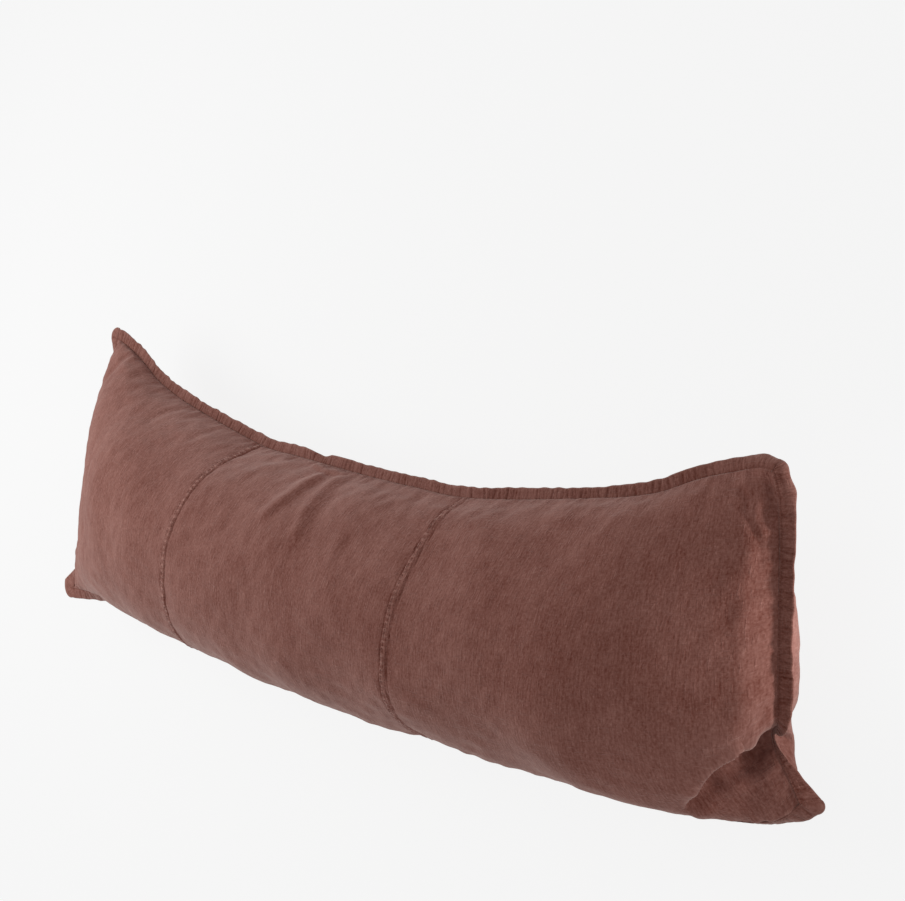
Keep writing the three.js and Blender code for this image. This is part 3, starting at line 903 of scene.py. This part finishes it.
# its waves up and down, and in and out as shares of its width: how high and how long
FLANGE_WAVES = [(0.8, 90), (0.5, 28)]
FLANGE_WAVES_FROM = 2
WIDTH_WAVES = [(0.025, 60), (0.02, 18)]
FLANGE_SEED = 21
flange_rng = np.random.default_rng(FLANGE_SEED)
out, half_thick = FLANGE_PROFILE[:, 0], FLANGE_PROFILE[:, 1]


def creases():
    """How deep the flange is creased, from 0 to 1, along the ring and across it."""
    depth = np.zeros((len(edge_walk), len(out)))
    place = 0.0
    while place < edge_length:
        width = flange_rng.uniform(*CREASE_WIDTHS)
        slant = flange_rng.uniform(*CREASE_SLANTS)
        strength = flange_rng.uniform(*CREASE_STRENGTHS) ** CREASE_POWER
        shifted = edge_walk[:, None] - place - slant * out[None, :]
        depth = np.maximum(depth, strength * np.exp(-((shifted / width) ** 2)))
        place += flange_rng.uniform(*CREASE_SPACINGS)
    return depth


def waves_along(waves):
    """Random waves along the ring, from rows of a height and a length."""
    return sum(height * ripples(edge_walk, 0 * edge_walk, length, flange_rng) for height, length in waves)


crease = creases() * smooth(*CREASE_STARTS, out)[None, :]
crease = crease * (1 - CREASE_FADE * smooth(*CREASE_FADES, out)[None, :])
lifted = waves_along(FLANGE_WAVES)[:, None] * smooth(FLANGE_WAVES_FROM, FLANGE_WIDTH, out)[None, :]
reach = (ring["reach"] + waves_along(WIDTH_WAVES))[:, None]
out_places = out[None, :] * np.where(out[None, :] > 0, reach, 1)
# the way out along the flange's middle, step by step, which its curl turns
bend = lean[:, None] + np.radians(ring["curl"])[:, None] * smooth(CURL_FROM, FLANGE_WIDTH, out)[None, :]
steps_out = np.diff(out_places, axis=1, prepend=0)
flat_out = np.cumsum(steps_out * np.cos(bend), axis=1)
rise_out = np.cumsum(steps_out * np.sin(bend), axis=1)
spine = ring["root"][:, None] + level * flat_out[:, :, None] + upward * rise_out[:, :, None]
thick = np.cross(onward[:, None], level * np.cos(bend)[:, :, None] + upward * np.sin(bend)[:, :, None])
bulk = 1 + FELL_BULK * ring["fell"][:, None] * smooth(0, FELL_BULK_BY, out)[None, :]
layers = []
for face in (1, -1):
    height = face * half_thick[None, :] * bulk * (1 - CREASE_PINCH * crease)
    height = height + lifted - CREASE_DEPTH * crease
    layer = spine + thick * height[:, :, None]
    layer[:, :, 2] = np.maximum(layer[:, :, 2], FLANGE_LOWEST)
    layers.append(layer)
section = np.concatenate([layers[0], layers[1][:, ::-1]], axis=1)
numbers = np.arange(section[:, :, 0].size).reshape(section.shape[:2])
numbers = np.concatenate([numbers, numbers[:1]])
numbers = np.concatenate([numbers, numbers[:, :1]], axis=1)

# it is worn along its fold and over the felled seams' bulk; where it curls its rim gets a painted
# highlight, and its creases and stitch line get painted shade
EDGE_WEAR = 0.6
EDGE_WORN = (13.0, 15.3)
BULK_WEAR = 0.9
FULL_HIGHLIGHT_CURL = 60
CURL_HIGHLIGHT_ACROSS = (6, 9)
CREASE_SHADE = 0.7
STITCH_SHADE = 0.6
STITCH_DIP_WIDTH = 0.9
across = np.concatenate([out, out[::-1]])
flange_flat = np.stack(np.broadcast_arrays(edge_walk[:, None], across[None, :]), -1)
# the creases and the stitch line's dip get painted shade
flange_crease = np.concatenate([crease, crease[:, ::-1]], axis=1)
stitched = np.exp(-(((across - STITCH_LINE) / STITCH_DIP_WIDTH) ** 2))[None, :]
edge_worn = EDGE_WEAR * smooth(*EDGE_WORN, across)[None, :]
# a painted highlight on the outer part of the curled corners
curl_highlight = np.clip(-ring["curl"] / FULL_HIGHLIGHT_CURL, 0, 1)[:, None] * smooth(*CURL_HIGHLIGHT_ACROSS, across)[None, :]
flange_amounts = {
    "wear_and_highlight": np.clip(edge_worn + BULK_WEAR * ring["fell"][:, None] + curl_highlight, 0, 1),
    "beads": 0 * flange_crease,
    "painted_shade": np.clip(CREASE_SHADE * flange_crease + STITCH_SHADE * stitched, 0, 1),
}
flange = cloth_piece(
    "flange",
    section.reshape(-1, 3),
    grid_quads(numbers, False).tolist(),
    flange_flat.reshape(-1, 2),
    {name: values.ravel() for name, values in flange_amounts.items()},
)
# the flange is the body's own linen, painted a little darker as painted shade
flange_linen = linen("flange_linen", dark=(0.108, 0.0245, 0.014), pale=(0.284, 0.129, 0.104))
flange.data.materials.append(flange_linen)
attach(flange, "root")
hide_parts("flange_upper", "flange_right", "flange_lower", "flange_left")

# The stitches: one row along each side of a felled seam's band, in front and behind, and one row
# round the flange on both its faces. They are sewn in a thread of the cloth's own colour.
STITCH_PITCH = 3.4
STITCH_LENGTH = 2.6
THREAD_THICKNESS = 0.5
FELL_STITCH_AT = 2.8
ROW_ENDS_LEFT_OUT = 6
ROW_CLEARANCE = 0.1
STITCH_SLANT = 0.12
STITCH_SEED = 5
FIBRE_SCALE = 900.0
FIBRE_RELIEF = 0.0002
FIBRE_STRENGTH = 0.5
THREAD_FINISH = {"Roughness": 0.8, "Specular IOR Level": 0.15}


def thread_material():
    """Twisted cotton thread, in the linen's darker tones."""
    material, shader = new_material("thread", THREAD_FINISH)
    tree = material.node_tree
    start = Maths(tree)
    place = start.node("ShaderNodeTexCoord", output=3)
    noise = {"Vector": place, "Scale": FIBRE_SCALE, "Detail": 2.0}
    fibres = start.node("ShaderNodeTexNoise", inputs=noise)
    colour = fibres.step(0.3, 0.7).colour((0.115, 0.035, 0.025, 1), (0.23, 0.10, 0.078, 1))
    tree.links.new(colour.socket, shader.inputs["Base Color"])
    relief = {"Height": fibres, "Strength": FIBRE_STRENGTH, "Distance": FIBRE_RELIEF}
    tree.links.new(start.node("ShaderNodeBump", inputs=relief).socket, shader.inputs["Normal"])
    return material


def stitch_rows(thread):
    """A node tree that lays stitches end to end along the lines of a mesh."""
    tree = bpy.data.node_groups.new("stitch rows", "GeometryNodeTree")
    tree.interface.new_socket("Lines", in_out="INPUT", socket_type="NodeSocketGeometry")
    for size in ("Pitch", "Length", "Thickness"):
        tree.interface.new_socket(size, in_out="INPUT", socket_type="NodeSocketFloat")
    tree.interface.new_socket("Stitches", in_out="OUTPUT", socket_type="NodeSocketGeometry")
    given = tree.nodes.new("NodeGroupInput").outputs
    lines, pitch, length, thickness = (Maths(tree, given[k]) for k in range(4))
    start = Maths(tree)
    path = start.node("GeometryNodeMeshToCurve", inputs={"Mesh": lines})
    places = start.node("GeometryNodeResampleCurve", {"mode": "LENGTH"},
                        {"Curve": path, "Length": pitch})
    stitch = start.node("GeometryNodeMeshUVSphere", inputs={"Segments": 6, "Rings": 4, "Radius": 0.5})
    size = start.node("ShaderNodeCombineXYZ", inputs={"X": thickness, "Y": thickness, "Z": length})
    slant = start.node("FunctionNodeRandomValue", {"data_type": "FLOAT_VECTOR"},
                       {0: [-STITCH_SLANT] * 3, 1: [STITCH_SLANT] * 3, "Seed": STITCH_SEED})
    tangent = start.node("GeometryNodeInputTangent")
    heading = start.node("ShaderNodeVectorMath", {"operation": "ADD"}, {0: tangent, 1: slant})
    turn = start.node("FunctionNodeAlignRotationToVector", {"axis": "Z"}, {"Vector": heading})
    rows = start.node("GeometryNodeInstanceOnPoints",
                      inputs={"Points": places, "Instance": stitch, "Rotation": turn, "Scale": size})
    solid = start.node("GeometryNodeRealizeInstances", inputs={"Geometry": rows})
    rounded = start.node("GeometryNodeSetShadeSmooth", inputs={"Geometry": solid})
    finished = start.node("GeometryNodeSetMaterial", inputs={"Geometry": rounded, "Material": thread})
    tree.links.new(finished.socket, tree.nodes.new("NodeGroupOutput").inputs["Stitches"])
    return tree


def seam_row(cover, distance):
    """The line on the face or the back at a flat distance along the cover."""
    line = [[np.interp(distance, station_u, cover[:, k, axis]) for axis in range(3)]
            for k in range(len(walk_v))]
    line = np.array(line)[ROW_ENDS_LEFT_OUT:-ROW_ENDS_LEFT_OUT]
    line[:, 2] = np.maximum(line[:, 2], THREAD_THICKNESS / 2 + ROW_CLEARANCE)
    return line


stitch_lines = [
    seam_row(cover, end * (PANEL_LENGTH / 2 + across_band))
    for across_band in (-FELL_STITCH_AT, FELL_STITCH_AT)
    for cover in (front, back)
    for end in (-1, 1)
]
nearest_out = int(np.argmin(abs(out - STITCH_LINE)))
stitch_lines += [layer[:, nearest_out] for layer in layers]
line_points = np.concatenate(stitch_lines)
line_edges = []
first = 0
for line in stitch_lines:
    line_edges += [(k, k + 1) for k in range(first, first + len(line) - 1)]
    first += len(line)
line_mesh = bpy.data.meshes.new("stitch_lines")
line_mesh.from_pydata(((line_points - ORIGIN) * MM).tolist(), line_edges, [])
stitches = bpy.data.objects.new("stitches", line_mesh)
bpy.context.scene.collection.objects.link(stitches)
rows = stitches.modifiers.new("rows", "NODES")
rows.node_group = stitch_rows(thread_material())
stitch_sizes = {"Pitch": STITCH_PITCH, "Length": STITCH_LENGTH, "Thickness": THREAD_THICKNESS}
for socket in rows.node_group.interface.items_tree:
    if socket.name in stitch_sizes:
        rows[socket.identifier] = stitch_sizes[socket.name] * MM
sewn = bpy.data.meshes.new_from_object(stitches.evaluated_get(bpy.context.evaluated_depsgraph_get()))
stitches.modifiers.clear()
stitches.data = sewn
stitches.data.name = "stitches"
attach(stitches, "root")

# The studio: a pale floor under the cushion, a wide pale surround, a soft key light from beyond its
# left end, a small low one beside its right end, and the camera
FLOOR_HALF = 6.0
FLOOR_FINISH = {
    "Base Color": (0.06, 0.06, 0.06, 1),
    "Roughness": 1.0,
    "Specular IOR Level": 0.0,
    "Emission Color": (1, 1, 1, 1),
    "Emission Strength": 0.87,
}
SURROUND = {"Color": (1, 1, 1, 1), "Strength": 0.52}
floor_mesh = bpy.data.meshes.new("floor")
floor_corners = [(x * FLOOR_HALF, y * FLOOR_HALF, 0) for x, y in ((-1, -1), (1, -1), (1, 1), (-1, 1))]
floor_mesh.from_pydata(floor_corners, [], [(0, 1, 2, 3)])
floor = bpy.data.objects.new("floor", floor_mesh)
bpy.context.scene.collection.objects.link(floor)
floor.data.materials.append(new_material("floor_paint", FLOOR_FINISH)[0])

world = bpy.data.worlds.new("surround")
world.use_nodes = True
for socket, value in SURROUND.items():
    world.node_tree.nodes["Background"].inputs[socket].default_value = value
bpy.context.scene.world = world

# each light: where it stands and how wide it is, in metres, its strength in watts, where it aims, and
# how far its light fans out, in degrees
LIGHTS = {
    "key": ((-1.147, 0.083, 1.05), (0.9, 0.9), 13.0, (0.003, 0.003, 0), 180),
    "low": ((0.773, 0.13, 0.02), (0.26, 0.03), 0.20, (0.603, 0.10, 0.04), 80),
}
for name, (place, size, strength, aim, fan_angle) in LIGHTS.items():
    light = bpy.data.lights.new(name, "AREA")
    light.shape = "RECTANGLE"
    light.size, light.size_y = size
    light.energy = strength
    light.spread = np.radians(fan_angle)
    lamp = bpy.data.objects.new(name, light)
    lamp.location = place
    lamp.rotation_euler = (Vector(place) - Vector(aim)).to_track_quat("Z", "Y").to_euler()
    lamp.visible_camera = False
    bpy.context.scene.collection.objects.link(lamp)
bpy.context.scene.view_settings.view_transform = "Standard"

CAMERA_PLACE = Vector((1.2281, 0.2227, 1.2787))
CAMERA_BACK = Vector((0.6820, 0.0503, 0.7296))
CAMERA_UP = Vector((-0.1642, 0.9827, 0.0858))
CAMERA_LENS = 55.7
CAMERA_SENSOR = 36
camera_data = bpy.data.cameras.new("camera")
camera_data.sensor_width = CAMERA_SENSOR
camera_data.lens = CAMERA_LENS
camera = bpy.data.objects.new("camera", camera_data)
camera_right = CAMERA_UP.cross(CAMERA_BACK)
turn = Matrix((camera_right, CAMERA_UP, CAMERA_BACK)).transposed()
camera.matrix_world = Matrix.LocRotScale(CAMERA_PLACE, turn.to_quaternion(), None)
bpy.context.scene.collection.objects.link(camera)
bpy.context.scene.camera = camera
